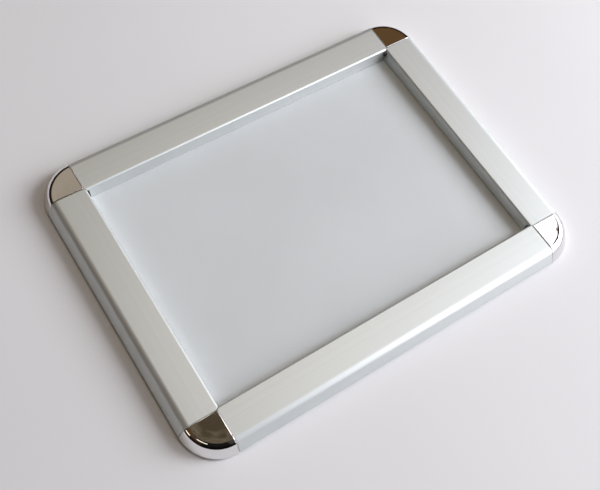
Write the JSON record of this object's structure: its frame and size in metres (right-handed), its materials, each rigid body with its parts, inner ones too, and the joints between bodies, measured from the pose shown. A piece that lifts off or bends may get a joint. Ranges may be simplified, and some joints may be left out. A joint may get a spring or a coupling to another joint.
{
  "type": "clip frame",
  "caption": "Aluminium clip frame for a paper print, with hinged snap flaps along each side and rounded chromed corner caps, lying on its back.",
  "frame": {"origin": "middle of the frame on the plane of its back, which lies on the table", "axes": "+X along the long side to the right, +Y along the short side to the top, +Z out of the picture side"},
  "size_m": [0.354, 0.267, 0.0139],
  "materials": {
    "anodised_aluminium": "satin anodised, fine streaks along the profile",
    "chromed_cap": "mirror chrome plating on moulded plastic",
    "zinc_key": "zinc plated steel",
    "spring_steel": "tempered spring steel",
    "zinc_screw": "zinc plated",
    "back_board": "matt light grey board",
    "clear_cover": "clear sheet, low glare"
  },
  "bodies": {
    "frame": {"base_rail_bottom": "anodised_aluminium", "base_rail_top": "anodised_aluminium", "base_rail_left": "anodised_aluminium", "base_rail_right": "anodised_aluminium", "corner_cap_bottom_left": "chromed_cap", "corner_cap_bottom_right": "chromed_cap", "corner_cap_top_right": "chromed_cap", "corner_cap_top_left": "chromed_cap", "corner_key_bottom_left": "zinc_key", "corner_key_bottom_right": "zinc_key", "corner_key_top_right": "zinc_key", "corner_key_top_left": "zinc_key", "spring_bottom_1": "spring_steel", "spring_bottom_2": "spring_steel", "spring_top_1": "spring_steel", "spring_top_2": "spring_steel", "spring_left_1": "spring_steel", "spring_left_2": "spring_steel", "spring_right_1": "spring_steel", "spring_right_2": "spring_steel", "cap_screws": "zinc_screw", "back_panel": "back_board", "cover_sheet": "clear_cover"},
    "flap_bottom_body": {"flap_bottom": "anodised_aluminium"},
    "flap_top_body": {"flap_top": "anodised_aluminium"},
    "flap_left_body": {"flap_left": "anodised_aluminium"},
    "flap_right_body": {"flap_right": "anodised_aluminium"}
  },
  "joints": [
    {"name": "flap_bottom_hinge", "type": "hinge", "parent": "frame", "child": "flap_bottom_body", "pos_m": [0, -0.1315, 0.00215], "axis": [1, 0, 0], "range_deg": [0, 90]},
    {"name": "flap_top_hinge", "type": "hinge", "parent": "frame", "child": "flap_top_body", "pos_m": [0, 0.1315, 0.00215], "axis": [-1, 0, 0], "range_deg": [0, 90]},
    {"name": "flap_left_hinge", "type": "hinge", "parent": "frame", "child": "flap_left_body", "pos_m": [-0.175, 0, 0.00215], "axis": [0, -1, 0], "range_deg": [0, 90]},
    {"name": "flap_right_hinge", "type": "hinge", "parent": "frame", "child": "flap_right_body", "pos_m": [0.175, 0, 0.00215], "axis": [0, 1, 0], "range_deg": [0, 90]}
  ]
}
